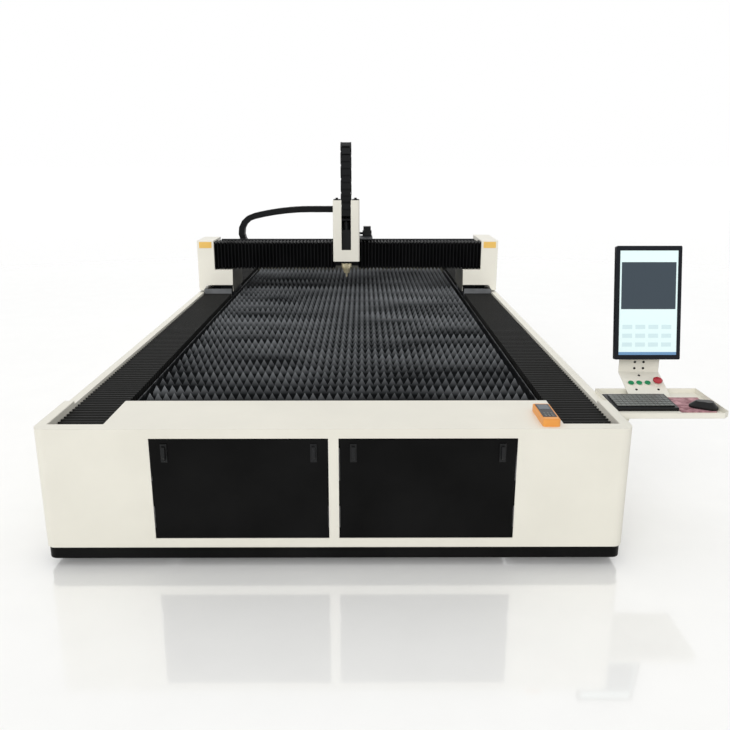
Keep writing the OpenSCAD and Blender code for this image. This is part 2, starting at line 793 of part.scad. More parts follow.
// Lifting axis
bearing_h = 20;
bearing_low = column_foot + 5;
bearing_high = column_top - bearing_h;
module bearing_block(z) {
    difference() {
        slab(head_at - 24, head_at + 24, screw_y - screw_r - 4.5, column_y + 1, z, z + bearing_h);
        translate([head_at, screw_y, z - 1]) cylinder(r = screw_r + running, h = bearing_h + 2);
    }
}
module head_column() {
    color("#9a9da0") {
        slab(head_at - column_half, head_at + column_half, column_y, column_y + column_t,
            column_foot, column_top);
        for (s = [-1, 1]) translate([head_at + s * zrail_x, column_y, column_foot + zrail_inset])
            linear_extrude(column_top - column_foot - 2 * zrail_inset)
                mirror([0, 1]) rail_profile(zrail_w, zrail_h + 1);
        for (z = [bearing_low, bearing_high]) bearing_block(z);
        slab(head_at - column_half - 10, head_at - column_half, column_y + 2,
            beam_chain_y + chain_width / 2, beam_chain_z - 30, beam_chain_z + 30);
    }
}
module lift_motor() {
    half = 28;
    color("#1d1d1f") slab(head_at - half, head_at + half, screw_y - half, screw_y + half,
        column_top, min(column_top + 48, cover_top - sheet - 1));
}
module lift_screw() {
    color("#c2c5c8") translate([head_at, screw_y, bearing_low])
        cylinder(r = screw_r, h = column_top - bearing_low - clear);
}

// Head cover with the chain slot
slot_w = 67;
slot_h = 338;
module cover_outline(inset) {
    w = cover_half - inset;
    r = 12 - inset;
    y = cover_front + inset;
    back = column_y - 5;
    translate([head_at, 0]) {
        for (s = [-1, 1]) translate([s * (w - r), y + r]) circle(r);
        translate([-(w - r), y]) square([2 * (w - r), back - y]);
        translate([-w, y + r]) square([2 * w, back - y - r]);
    }
}
module head_cover() {
    color("#e8e6dc") {
        difference() {
            translate([0, 0, cover_foot]) linear_extrude(cover_height) cover_outline(0);
            translate([0, 0, cover_foot - 1]) linear_extrude(cover_height - sheet + 1) cover_outline(sheet);
            slab(head_at - cover_half + sheet, head_at + cover_half - sheet, column_y - 8, column_y,
                cover_foot - 1, cover_top - sheet);
            slab(head_at - slot_w / 2, head_at + slot_w / 2, cover_front - 1, cover_front + sheet + 1,
                cover_top - 10 - slot_h, cover_top - 10);
            slab(head_at - chain_width / 2 - 3, head_at + chain_width / 2 + 3,
                head_chain_y - head_chain_thick / 2 - 3, head_chain_y + head_chain_thick / 2 + 3,
                cover_top - sheet - 1, cover_top + 1);
        }
        translate([head_at, 0, 0]) both_sides() {
            slab(70, cover_half - 1, column_y - 8, column_y - 5, cover_foot + 20, cover_foot + 220);
            slab(70, column_half, column_y - 6, column_y, cover_foot + 20, cover_foot + 220);
        }
    }
}
// Place at a distance along the head chain, up from the slide, over and down to the cover
head_chain_rise = 449;
head_chain_foot = slide_top;
function head_chain_at(s) =
    let (arc = head_chain_r * PI)
    s < head_chain_rise ? [0, s]
    : s < head_chain_rise + arc ? let (a = 180 - (s - head_chain_rise) / head_chain_r * 180 / PI)
        [head_chain_r + head_chain_r * cos(a), head_chain_rise + head_chain_r * sin(a)]
    : [2 * head_chain_r, 2 * head_chain_rise + arc - s];
head_chain_drop = head_chain_rise - (cover_top - head_chain_foot);
head_chain_links = floor((head_chain_rise + head_chain_r * PI + head_chain_drop) / link_pitch);
module head_chain() {
    color("#1b1b1c") translate([head_at, head_chain_y, head_chain_foot + clear])
        for (i = [0 : head_chain_links - 1]) {
            before = head_chain_at((i - 1) * link_pitch);
            a = head_chain_at(i * link_pitch);
            b = head_chain_at((i + 1) * link_pitch);
            after = head_chain_at((i + 2) * link_pitch);
            turn = max(turn_between(before, a, b), turn_between(a, b, after));
            d = b - a;
            translate([0, a[0], a[1]]) rotate([atan2(d[1], d[0]), 0, 0]) rotate([0, 0, 90])
                link(norm(d) - link_gap, chain_width, min(head_chain_thick, norm(d) - 2), turn);
        }
}

// Cutting head on the lift
module head_slide() {
    color("#4a4c50") {
        slab(head_at - 66, head_at + 66, slide_y, slide_y + slide_t, slide_foot, slide_top);
        slab(head_at - 37, head_at + 37, head_chain_y - 17, slide_y + 1, slide_top - 12, slide_top);
        for (s = [-1, 1], z = [slide_foot + 15, slide_top - 65]) difference() {
            slab(head_at + s * zrail_x - 13, head_at + s * zrail_x + 13, slide_y + slide_t - 1, column_y - 4,
                z, z + 50);
            slab(head_at + s * zrail_x - zrail_w / 2 - clear, head_at + s * zrail_x + zrail_w / 2 + clear,
                column_y - zrail_h - 1 - clear, column_y, z - 1, z + 51);
        }
        difference() {
            slab(head_at - 16, head_at + 16, slide_y + slide_t - 1, column_y - 4,
                slide_foot + 90, slide_foot + 130);
            translate([head_at, screw_y, slide_foot + 89]) cylinder(r = screw_r + running, h = 42);
        }
    }
}
module head_body() {
    color("#232427") translate([head_at, head_y, 0]) {
        slab(-45, 45, -25, 25, nozzle_top + 25, slide_foot + 150);
        slab(-52, 52, -22, 25, slide_foot + 20, slide_foot + 60);
        translate([0, 0, slide_foot + 149]) cylinder(r = 24, h = 62);
        translate([0, 0, nozzle_top]) cylinder(r = 34, h = 26);
        slab(-60, -34, -20, 20, nozzle_top + 25, nozzle_top + 60);
        slab(34, 60, -20, 20, nozzle_top + 25, nozzle_top + 60);
    }
}
module nozzle() {
    color("#b8924a") translate([head_at, head_y, nozzle_tip]) rotate_extrude() polygon([
        [0, 0], [3, 0], [6, 8], [9, 28], [20, 30], [24, 42], [33, 66], [33, 72],
        [39, 76], [39, 98], [34, 103], [0, 103]
    ]);
}

// Operator console
tray_cut = 24;
module tray_outline(inset) {
    x0 = tray_x + inset;
    x1 = tray_x + tray_width - inset;
    y0 = tray_y + inset;
    y1 = tray_y + tray_depth - inset;
    polygon([[x0, y0], [x1 - tray_cut, y0], [x1, y0 + tray_cut], [x1, y1], [x0, y1]]);
}
arm_y = [tray_y + 70, tray_y + tray_depth - 40];
arm_drop = 150;
arm_bar = 16;
module console_tray() {
    color("#e2e0d8") {
        difference() {
            translate([0, 0, tray_z]) linear_extrude(tray_rim) tray_outline(0);
            translate([0, 0, tray_z + tray_sheet]) linear_extrude(tray_rim) tray_outline(tray_sheet);
        }
        slab(half_w, half_w + 4, arm_y[0] - 20, arm_y[1] + 20, tray_z - arm_drop, tray_z + 1);
        for (y = arm_y) along_y(y - 2, y + 2) polygon([
            [half_w + 3, tray_z + 1], [half_w + 3, tray_z - arm_drop + 10],
            [half_w + 20, tray_z - arm_drop + 10], [half_w + 68, tray_z - arm_bar],
            [tray_x + tray_width - 60, tray_z - arm_bar], [tray_x + tray_width - 60, tray_z + 1]
        ]);
    }
}
panel_slope = atan2(panel_rise, panel_run);
panel_length = norm([panel_run, panel_rise]);
panel_t = 3;
// Place on the monitor's tilted back, just behind it, at a height along the screen
function behind_screen(h) = let (d = screen_t + screen_back + 0.2) [
    screen_y + d * cos(screen_tilt) + h * sin(screen_tilt),
    screen_foot - d * sin(screen_tilt) + h * cos(screen_tilt)
];
bracket_low = behind_screen(30);
bracket_high = behind_screen(110);
panel_lip = 14;
button_v = 83;
button_u = [30, 65, 101];
stop_u = 142;
stop_v = 84;
stem_r = 6;
module at_panel(u, v) {
    translate([panel_x + u, panel_y, panel_lift]) rotate([panel_slope, 0, 0]) translate([0, v, 0]) children();
}
module bezel(r, h) {
    difference() {
        cylinder(r = r + 2.5, h = h);
        translate([0, 0, -1]) cylinder(r = r + clear, h = h + 2);
    }
}
module console_panel() {
    color("#dcd9d0") difference() {
        union() {
            at_panel(0, 0) slab(0, panel_w, 0, panel_length, 0, panel_t);
            slab(panel_x, panel_x + panel_w, panel_y - panel_lip, panel_y + 3,
                panel_lift, panel_lift + panel_t);
            slab(panel_x, panel_x + panel_w, panel_back - panel_t, panel_back,
                panel_lift + panel_rise - 1, bracket_low[1] + 5);
            along_x(panel_x + 30, panel_x + panel_w - 30) polygon([
                bracket_low, bracket_high, bracket_high + [10, -2],
                [panel_back + 4, bracket_low[1] - 12], [panel_back - panel_t + 0.5, bracket_low[1] - 14]
            ]);
            for (u = button_u) at_panel(u, button_v)
                translate([0, 0, panel_t - 0.5]) bezel(button_d / 2, 5.5);
            at_panel(stop_u, stop_v) translate([0, 0, panel_t - 0.5]) cylinder(r = stop_d / 2 - 5, h = 8);
        }
        for (u = button_u) at_panel(u, button_v)
            translate([0, 0, -20]) cylinder(r = stem_r + running, h = 60);
        at_panel(stop_u, stop_v) translate([0, 0, -20]) cylinder(r = stem_r + running, h = 60);
    }
}
module push_button(u) {
    color("#2f9e62") at_panel(u, button_v) {
        translate([0, 0, panel_t + button_travel + 0.6]) cylinder(r = button_d / 2, h = 4);
        translate([0, 0, -8]) cylinder(r = stem_r, h = panel_t + button_travel + 9);
    }
}
module start_button() { push_button(button_u[0]); }
module hold_button() { push_button(button_u[1]); }
module reset_button() { push_button(button_u[2]); }
module emergency_stop() {
    base = panel_t + 7.5 + stop_travel + 0.6;
    color("#b02030") at_panel(stop_u, stop_v) {
        translate([0, 0, base]) rotate_extrude() polygon([
            [0, 0], [stop_d / 2 - 2, 0], [stop_d / 2, 2], [stop_d / 2, 8],
            [stop_d / 2 - 5, 12], [stop_d / 4, 14], [0, 14.5]
        ]);
        translate([0, 0, -10]) cylinder(r = stem_r, h = base + 11);
    }
}
bezel_side = 16;
bezel_end = 20;
module monitor() {
    color("#1a1f2a") translate([screen_x, screen_y, screen_foot]) rotate([-screen_tilt, 0, 0]) difference() {
        union() {
            along_y(0, screen_t) round_square(monitor_width, monitor_height, 6);
            slab(40, monitor_width - 40, screen_t - 1, screen_t + screen_back, 20, monitor_height - 80);
        }
        slab(bezel_side, monitor_width - bezel_side, -1, 1.5, bezel_end, monitor_height - bezel_end);
    }
}
// Gap between the panel's lip and what lies in front of it
desk_gap = 5;
keys_x = tray_x + 8;
keys_y = tray_y + 82;
keys_w = 254;
keys_d = panel_y - panel_lip - desk_gap - keys_y;
key_rows = 6;
key_pitch = 22;
key_margin = 12;
module keyboard() {
    z = tray_z + tray_sheet;
    color("#2b2c2f") {
        along_x(keys_x, keys_x + keys_w) polygon([
            [keys_y, z], [keys_y + keys_d, z], [keys_y + keys_d, z + 18], [keys_y + keys_d - 4, z + 20],
            [keys_y + 3, z + 14], [keys_y, z + 11]
        ]);
        for (row = [0 : key_rows - 1]) {
            y = keys_y + key_margin + row * key_pitch;
            slab(keys_x + key_margin, keys_x + keys_w - key_margin, y, y + key_pitch - 3,
                z + 10, z + 18.5 + row * 0.75);
        }
    }
}
pad_x = keys_x + keys_w + 4;
pad_y = tray_y + 65;
pad_w = 140;
pad_d = panel_y - panel_lip - desk_gap - pad_y;
mouse_turn = -30;
module mouse_set() {
    z = tray_z + tray_sheet;
    color("#c9424f") slab(pad_x, pad_x + pad_w, pad_y, pad_y + pad_d, z, z + 3);
    color("#141416") translate([pad_x + 106, pad_y + 49, z + 3]) rotate(mouse_turn) hull() {
        translate([-28, 0, 0]) cylinder(r = 26, h = 8, $fn = 32);
        translate([28, 0, 0]) cylinder(r = 28, h = 8, $fn = 32);
        translate([-12, 0, 0]) cylinder(r = 18, h = 28, $fn = 32);
        translate([16, 0, 0]) cylinder(r = 20, h = 30, $fn = 32);
    }
}
pendant_x = lane_in - 60;
pendant_y = y_front + 20;
module pendant() {
    w = 64;
    l = 190;
    t = 26;
    color("#e58a2e") translate([pendant_x - w / 2, pendant_y, table_height]) difference() {
        union() {
            linear_extrude(t) round_square(w, l, 9);
            translate([5, 5, t - 1]) linear_extrude(3) round_square(w - 10, l - 10, 6);
        }
        slab(10, w - 10, l - 70, l - 16, t, t + 3);
    }
}

plinth();
levelling_feet();
side_beam_left();
side_beam_right();
cross_members();
front_casing();
rear_casing();
side_cover_left();
side_cover_right();
door_sill();
door_left();
door_right();
door_handles_left();
door_handles_right();
slat_rack();
cutting_slats();
slag_bins();
exhaust_collar();
lane_rails();
bellows_front_left();
bellows_front_right();
bellows_rear_left();
bellows_rear_right();
gantry_feet();
lane_blocks();
gantry_end_left();
gantry_end_right();
bellows_plates();
lane_motors();
lane_pinion_left();
lane_pinion_right();
gantry_beam();
beam_rails();
chain_tray();
marker_plates();
beam_bellows_left();
beam_bellows_right();
beam_chain();
saddle();
beam_blocks();
beam_motor();
beam_pinion();
head_column();
lift_motor();
lift_screw();
head_cover();
head_chain();
head_slide();
head_body();
nozzle();
console_tray();
console_panel();
start_button();
hold_button();
reset_button();
emergency_stop();
monitor();
keyboard();
mouse_set();
pendant();
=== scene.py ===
import math

import bmesh
import bpy
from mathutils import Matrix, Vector


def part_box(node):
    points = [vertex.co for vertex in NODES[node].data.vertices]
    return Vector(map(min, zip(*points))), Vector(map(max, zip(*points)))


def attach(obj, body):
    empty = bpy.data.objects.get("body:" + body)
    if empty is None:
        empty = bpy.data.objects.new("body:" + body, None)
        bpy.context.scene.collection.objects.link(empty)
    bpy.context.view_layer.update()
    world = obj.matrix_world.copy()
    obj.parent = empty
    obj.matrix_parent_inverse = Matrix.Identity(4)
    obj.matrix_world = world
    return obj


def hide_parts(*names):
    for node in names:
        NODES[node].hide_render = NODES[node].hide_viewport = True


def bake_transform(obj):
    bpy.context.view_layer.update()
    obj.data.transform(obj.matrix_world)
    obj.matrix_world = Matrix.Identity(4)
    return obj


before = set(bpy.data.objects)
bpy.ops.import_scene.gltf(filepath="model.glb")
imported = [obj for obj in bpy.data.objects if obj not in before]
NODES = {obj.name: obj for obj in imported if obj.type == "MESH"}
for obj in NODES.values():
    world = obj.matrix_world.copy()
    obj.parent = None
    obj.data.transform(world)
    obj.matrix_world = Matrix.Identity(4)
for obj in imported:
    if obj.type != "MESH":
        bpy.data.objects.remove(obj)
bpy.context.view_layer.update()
scene = bpy.context.scene
X = Vector((1, 0, 0))
Y = Vector((0, 1, 0))
Z = Vector((0, 0, 1))

# Camera, fitted to the edges of the bed in the photo
camera_data = bpy.data.cameras.new("photo_camera")
camera_data.sensor_fit = "HORIZONTAL"
camera_data.sensor_width = 36.0
camera_data.lens = 37.1
camera = bpy.data.objects.new("photo_camera", camera_data)
camera.location = (0.1062, -4.9204, 1.5157)
camera.rotation_euler = (math.radians(74.47), 0.0, math.radians(-0.212))
scene.collection.objects.link(camera)
scene.camera = camera
scene.view_settings.view_transform = "Standard"


# Materials
def linear(hex_colour):
    """An sRGB hex colour as the linear RGBA that sockets take."""
    channels = [int(hex_colour[i : i + 2], 16) / 255 for i in (1, 3, 5)]
    return [c / 12.92 if c <= 0.04045 else ((c + 0.055) / 1.055) ** 2.4 for c in channels] + [1.0]


def add(tree, kind, inputs=(), **settings):
    """Adds a node, sets its properties and fills its inputs with values or with other nodes' sockets."""
    made = tree.nodes.new(kind)
    for key, value in settings.items():
        setattr(made, key, value)
    for key, value in dict(inputs).items():
        if isinstance(value, bpy.types.NodeSocket):
            tree.links.new(value, made.inputs[key])
        else:
            made.inputs[key].default_value = value
    return made


# A cloud of colour is fifty grits wide, and the grit stands up to half a millimetre proud
PATCH_GRITS = 50
GRIT_HEIGHT = 0.0005
FADE_LIFT = 0.15


def finish_of(
    name,
    light,
    dark,
    rough,
    metal=0.0,
    grit_mm=4.17,
    stretch=(1.0, 1.0, 1.0),
    grain=0.0,
    edge_mm=0.0,
    coat=0.0,
    sheen=0.0,
    shine=0.5,
    fade_heights=None,
):
    """A finish that drifts between two colours, with a fine grit and softened edges.
    grit_mm is the spacing of the finest marks. Real powder coat, castings and cloth are finer than a pixel
    here, so theirs is drawn coarser, at 3 to 7 mm, to show.
    stretch sets how fast the drift runs along each axis.
    worn is a pair of heights between which it goes from the dark colour to the light one."""
    material = bpy.data.materials.new(name)
    material.use_nodes = True
    tree = material.node_tree
    surface = tree.nodes["Principled BSDF"]
    grits_per_metre = 1000 / grit_mm
    place = add(tree, "ShaderNodeTexCoord").outputs["Object"]
    spaced = add(tree, "ShaderNodeVectorMath", {0: place, 1: stretch}, operation="MULTIPLY")
    patches = {"Vector": spaced.outputs["Vector"], "Scale": grits_per_metre / PATCH_GRITS, "Detail": 3.0}
    cloud = add(tree, "ShaderNodeTexNoise", patches)
    fine = add(tree, "ShaderNodeTexNoise", {"Vector": place, "Scale": grits_per_metre, "Detail": 2.0})
    drift = cloud.outputs["Fac"]
    if fade_heights:
        height = add(tree, "ShaderNodeSeparateXYZ", {"Vector": place}).outputs["Z"]
        fade = add(tree, "ShaderNodeMapRange", {"Value": height, "From Min": fade_heights[0], "From Max": fade_heights[1]})
        drift = add(
            tree,
            "ShaderNodeMath",
            {0: fade.outputs["Result"], 1: drift, 2: FADE_LIFT},
            operation="MULTIPLY_ADD",
        ).outputs["Value"]
    ramp = add(tree, "ShaderNodeValToRGB", {"Fac": drift})
    low, high = ramp.color_ramp.elements
    low.position = 0.35
    low.color = linear(dark)
    high.position = 0.65
    high.color = linear(light)
    tree.links.new(ramp.outputs["Color"], surface.inputs["Base Color"])
    spread = add(
        tree,
        "ShaderNodeMapRange",
        {
            "Value": cloud.outputs["Fac"],
            "From Min": 0.3,
            "From Max": 0.7,
            "To Min": rough * 0.85,
            "To Max": rough * 1.12,
        },
    )
    tree.links.new(spread.outputs["Result"], surface.inputs["Roughness"])
    surface.inputs["Metallic"].default_value = metal
    surface.inputs["Coat Weight"].default_value = coat
    surface.inputs["Coat Roughness"].default_value = 0.15
    surface.inputs["Sheen Weight"].default_value = sheen
    surface.inputs["Specular IOR Level"].default_value = shine
    normal = None
    if edge_mm:
        normal = add(tree, "ShaderNodeBevel", {"Radius": edge_mm / 1000}, samples=6).outputs["Normal"]
    if grain:
        relief = {"Height": fine.outputs["Fac"], "Strength": grain, "Distance": GRIT_HEIGHT}
        if normal:
            relief["Normal"] = normal
        normal = add(tree, "ShaderNodeBump", relief).outputs["Normal"]
    if normal:
        tree.links.new(normal, surface.inputs["Normal"])
    return material


FINISHES = {
    # Baked powder: even and satin, softly rounded where the sheet is folded
    "cream": finish_of(
        "cream powder coat", "#EAE7DB", "#E6E3D7", 0.45, grain=0.05, edge_mm=3, shine=0.35
    ),
    # The same powder in black: deep, with wide faint clouds and hardly a highlight
    "black": finish_of(
        "black powder coat", "#101010", "#060606", 0.4, grit_mm=6.67, grain=0.06, edge_mm=2, shine=0.08
    ),
    # Brushed machine paint on welded tube: charcoal, slightly rough
    "frame": finish_of("dark frame paint", "#2A2C2F", "#1F2023", 0.5, grain=0.08, edge_mm=2, shine=0.3),
    # Laser-cut slats: bare grey at the tips, darker towards the foot, streaked along their length
    "slat": finish_of(
        "mild steel darker at the foot",
        "#919497",
        "#1D1F21",
        0.4,
        metal=0.4,
        grit_mm=1.11,
        stretch=(0.06, 1.0, 0.0),
        grain=0.2,
        shine=0.4,
        fade_heights=(0.47, 0.545),
    ),
    # Ground rails and gears: bright, with a fine even grain
    "steel": finish_of(
        "ground steel", "#B9BCBF", "#9EA1A5", 0.3, metal=1.0, grit_mm=2.38, grain=0.05, edge_mm=1
    ),
    # Blackened rails and screw: dark, with a metal glint
    "oxide": finish_of(
        "black oxide steel", "#3A3B3D", "#2A2B2D", 0.35, metal=0.6, grit_mm=2.38, grain=0.05, edge_mm=1
    ),
    # Dull plating on the bellows' end plates: mid grey, softly mottled
    "plate": finish_of(
        "grey plated steel", "#7C7E80", "#6A6C6E", 0.4, metal=0.3, grit_mm=2.78, grain=0.05, edge_mm=1
    ),
    # Weathered zinc on bins and duct: grey, with cloudy spangle
    "zinc": finish_of("galvanised sheet", "#54585B", "#3E4144", 0.5, metal=0.6, grit_mm=1.85, grain=0.05),
    # Rubber-coated cloth: matt black with a fine weave
    "cloth": finish_of(
        "coated bellows cloth", "#1C1C1B", "#161615", 0.5, grit_mm=3.33, grain=0.1, shine=0.15
    ),
    # Pressed fold of the same cloth, painted a lighter grey: a painted highlight along each fold
    "hem_highlight": finish_of("painted highlight on bellows folds", "#2C2D2C", "#242524", 0.5, grit_mm=3.33, shine=0.2),
    # Blacker cloth in front of the beam
    "beam_cloth": finish_of(
        "coated beam bellows cloth", "#0C0C0D", "#080809", 0.5, grit_mm=3.33, grain=0.1, shine=0.1
    ),
    # Its folds: a faint dark grey painted highlight
    "beam_hem_highlight": finish_of("painted highlight on beam bellows folds", "#202122", "#18191A", 0.5, grit_mm=3.33, shine=0.12),
    # Moulded chain links: black, half matt, with soft edges
    "nylon": finish_of(
        "black nylon", "#101113", "#0A0B0C", 0.5, grit_mm=3.33, grain=0.1, edge_mm=1, shine=0.25
    ),
    # Painted castings: black with a slight pebble
    "motor": finish_of("black motor casting", "#1B1C1E", "#131416", 0.4, grain=0.1, edge_mm=1.5, shine=0.3),
    # Turned and polished: pale gold with a soft shine
    "brass": finish_of("turned brass", "#EFE6C8", "#D6C99E", 0.25, metal=0.6, grit_mm=2.08),
    # Dyed sheet plastic: warm yellow, smooth
    "amber": finish_of("amber plastic plate", "#EFC670", "#E8BC63", 0.4, shine=0.3),
    # Injection-moulded ABS: black with a light texture
    "plastic": finish_of(
        "black moulded plastic", "#101113", "#0A0B0C", 0.36, grain=0.08, edge_mm=1, shine=0.3
    ),
    # Moulded button caps: clear colour under a thin gloss
    "green": finish_of("green button plastic", "#2A9A62", "#1F7F52", 0.3, coat=0.2, edge_mm=1),
    "red": finish_of("red button plastic", "#B71E30", "#9A1224", 0.28, coat=0.3, edge_mm=1),
    # Monitor housing: blue-black and half glossy
    "bezel": finish_of(
        "dark monitor plastic", "#0F141C", "#0A0E15", 0.3, grain=0.05, edge_mm=2, shine=0.2
    ),
    # Key caps: grey and matt, lightened with a painted glare of the clear film over them
    "keys": finish_of("grey key plastic with painted glare", "#7C7E7B", "#666865", 0.45, grain=0.1, edge_mm=1),
    # Knitted top of the pad: mottled rose with a soft nap
    "pad": finish_of("rose mouse cloth", "#C8949A", "#7A3A46", 0.8, grit_mm=0.556, sheen=0.2),
    # Moulded handset shell: even orange with rounded edges
    "orange": finish_of("orange handset plastic", "#EFA552", "#E59743", 0.4, edge_mm=2, shine=0.3),
    # Extruded and dyed: black with a dim metal sheen
    "anodised": finish_of(
        "black anodised aluminium", "#1A1A1C", "#121214", 0.4, metal=0.5, edge_mm=1, shine=0.3
    ),
    # Paint beside the cutting, darkened to a blotchy grey: soot and painted shade on the faces turned to
    # the slats
    "soot_and_shade": finish_of("sooty grey paint with painted shade", "#5C5B54", "#45443F", 0.55, grit_mm=1.85, grain=0.1, shine=0.2),
    # Painted plates and screw heads: plain matt black
    "trim": finish_of("black trim", "#0B0B0C", "#070708", 0.5, shine=0.2),
}
WEARS = {
    "cream": "front_casing rear_casing side_cover_left side_cover_right gantry_end_left gantry_end_right"
    " head_cover console_tray console_panel",
    "black": "plinth door_left door_right",
    "frame": "side_beam_left side_beam_right cross_members door_sill gantry_feet gantry_beam saddle"
    " chain_tray",
    "slat": "cutting_slats slat_rack",
    "steel": "lane_rails lane_blocks beam_blocks lane_pinion_left lane_pinion_right beam_pinion"
    " levelling_feet",
    "oxide": "beam_rails lift_screw",
    "plate": "bellows_plates",
    "zinc": "slag_bins exhaust_collar",
    "cloth": "bellows_front_left bellows_front_right bellows_rear_left bellows_rear_right",
    "beam_cloth": "beam_bellows_left beam_bellows_right",
    "nylon": "beam_chain head_chain",
    "motor": "lane_motors beam_motor lift_motor head_body",
    "anodised": "head_column head_slide",
    "brass": "nozzle",
    "amber": "marker_plates",
    "plastic": "door_handles_left door_handles_right keyboard",
    "green": "start_button hold_button reset_button",
    "red": "emergency_stop",
    "bezel": "monitor",
    "pad": "mouse_set",
    "orange": "pendant",
}
for finish, names in WEARS.items():
    for name in names.split():
        NODES[name].data.materials.clear()
        NODES[name].data.materials.append(FINISHES[finish])


def paint(node, finish, chosen):
    """Gives another finish to the faces of a CAD node that a test picks."""
    mesh = NODES[node].data
    mesh.materials.append(FINISHES[finish])
    for polygon in mesh.polygons:
        if chosen(polygon):
            polygon.material_index = len(mesh.materials) - 1


# Soot and painted shade on the lips and skirts that face the slats
NEAR = 0.001
FACING = 0.9
LIP_THICK = 0.004
LIP_FOOT = 0.46
rear_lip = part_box("rear_casing")[0].y + LIP_THICK
paint("rear_casing", "soot_and_shade", lambda face: face.center.y < rear_lip and face.center.z > LIP_FOOT)
front_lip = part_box("front_casing")[1].y - NEAR
paint("front_casing", "soot_and_shade", lambda face: face.normal.y > FACING and face.center.y > front_lip)
skirt_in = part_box("gantry_end_right")[0].x + NEAR
paint("gantry_end_right", "soot_and_shade", lambda face: face.center.x < skirt_in)
paint("gantry_beam", "trim", lambda face: face.normal.z > FACING)


# Pieces made here
def piece(name, points, faces, finish):
    """A new mesh in the shared frame with its faces turned outwards, wearing a finish."""
    mesh = bpy.data.meshes.new(name)
    mesh.from_pydata([tuple(p) for p in points], [], faces)
    mesh.validate()
    shape = bmesh.new()
    shape.from_mesh(mesh)
    bmesh.ops.recalc_face_normals(shape, faces=shape.faces)
    shape.to_mesh(mesh)
    shape.free()
    made = bpy.data.objects.new(name, mesh)
    scene.collection.objects.link(made)
    mesh.materials.append(FINISHES[finish])
    return made


BLOCK_FACES = [(0, 1, 3, 2), (4, 6, 7, 5), (0, 4, 5, 1), (2, 3, 7, 6), (0, 2, 6, 4), (1, 5, 7, 3)]


def block_corners(lo, hi):
    """The eight corners of a block, in the order that BLOCK_FACES names them."""
    return [Vector((x, y, z)) for x in (lo[0], hi[0]) for y in (lo[1], hi[1]) for z in (lo[2], hi[2])]


def blocks(name, boxes, finish, body, turn=None):
    """Plain blocks in one piece that rides on a body; turn places each corner."""
    points = []
    faces = []
    for lo, hi in boxes:
        first = len(points)
        corners = block_corners(lo, hi)
        points += [turn(c) for c in corners] if turn else corners
        faces += [tuple(first + k for k in face) for face in BLOCK_FACES]
    made = piece(name, points, faces, finish)
    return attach(made, body)


STUD_SIDES = 16
STUD_TAPER = 0.92


def studs(name, places, radius, height, finish, body):
    """Short round studs, each given as (foot, direction)."""
    points = []
    faces = []
    turns = [2 * math.pi * k / STUD_SIDES for k in range(STUD_SIDES)]
    for foot, direction in places:
        first = len(points)
        across = direction.orthogonal().normalized()
        other = direction.cross(across)
        for lift, shrink in ((0.0, 1.0), (height, STUD_TAPER)):
            middle = foot + direction * lift
            for a in turns:
                points.append(middle + (across * math.cos(a) + other * math.sin(a)) * radius * shrink)
        for k in range(STUD_SIDES):
            n = (k + 1) % STUD_SIDES
            faces.append((first + k, first + n, first + STUD_SIDES + n, first + STUD_SIDES + k))
        faces.append(tuple(first + STUD_SIDES + k for k in range(STUD_SIDES)))
        faces.append(tuple(first + k for k in reversed(range(STUD_SIDES))))
    made = piece(name, points, faces, finish)
    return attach(made, body)


# Left end cover with a step in its back, which leaves the chain's bend room at the end of its travel
SHEET = 0.003
STEP_IN = -0.976
STEP_BACK = 0.885
STEP_FLOOR = 0.795
lo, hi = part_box("gantry_end_left")
plain = NODES["gantry_end_left"].data
corner_of = {}
faces = []
for polygon in plain.polygons:
    spots = [tuple(round(c, 5) for c in plain.vertices[v].co) for v in polygon.vertices]
    faces.append(tuple(corner_of.setdefault(spot, len(corner_of)) for spot in spots))
cover = piece("stepped_end_cover", list(corner_of), faces, "cream")
step_lo = (lo.x - SHEET, STEP_BACK, STEP_FLOOR)
step_hi = (STEP_IN + SHEET, hi.y + SHEET, hi.z + SHEET)
step_mesh = bpy.data.meshes.new("step")
step_mesh.from_pydata(block_corners(step_lo, step_hi), [], BLOCK_FACES)
step = bpy.data.objects.new("step", step_mesh)
scene.collection.objects.link(step)
cut = cover.modifiers.new("step", "BOOLEAN")
cut.operation = "DIFFERENCE"
cut.solver = "EXACT"
cut.object = step
stepped = bpy.data.meshes.new_from_object(cover.evaluated_get(bpy.context.evaluated_depsgraph_get()))
cover.modifiers.clear()
cover.data = stepped
bpy.data.objects.remove(step)
# Soot and painted shade on the stepped cover's inner face, which faces the slats
stepped.materials.append(FINISHES["soot_and_shade"])
for polygon in stepped.polygons:
    polygon.material_index = 1 if polygon.center.x > -skirt_in else 0
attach(cover, "gantry")
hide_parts("gantry_end_left")
walls = [
    ((lo.x + SHEET, STEP_BACK, STEP_FLOOR - SHEET), (STEP_IN - SHEET, hi.y - SHEET, STEP_FLOOR)),
    ((lo.x + SHEET, STEP_BACK - SHEET, STEP_FLOOR - SHEET), (STEP_IN - SHEET, STEP_BACK, hi.z - SHEET)),
]
blocks("end_cover_step", walls, "cream", "gantry")


# Bellows: short lengths of folded cloth, from the fixed end to the moving end
HEM = 0.12
FOLD_DEPTH = 0.014
SECTION = 8
OUTER_SIDES = (0, 1, 2)
LENGTHS = [0.0, 0.016, 0.028, 0.048, 0.087, 0.165, 0.322, 0.678, 0.835, 0.913, 0.952, 0.972, 0.984, 1.0]


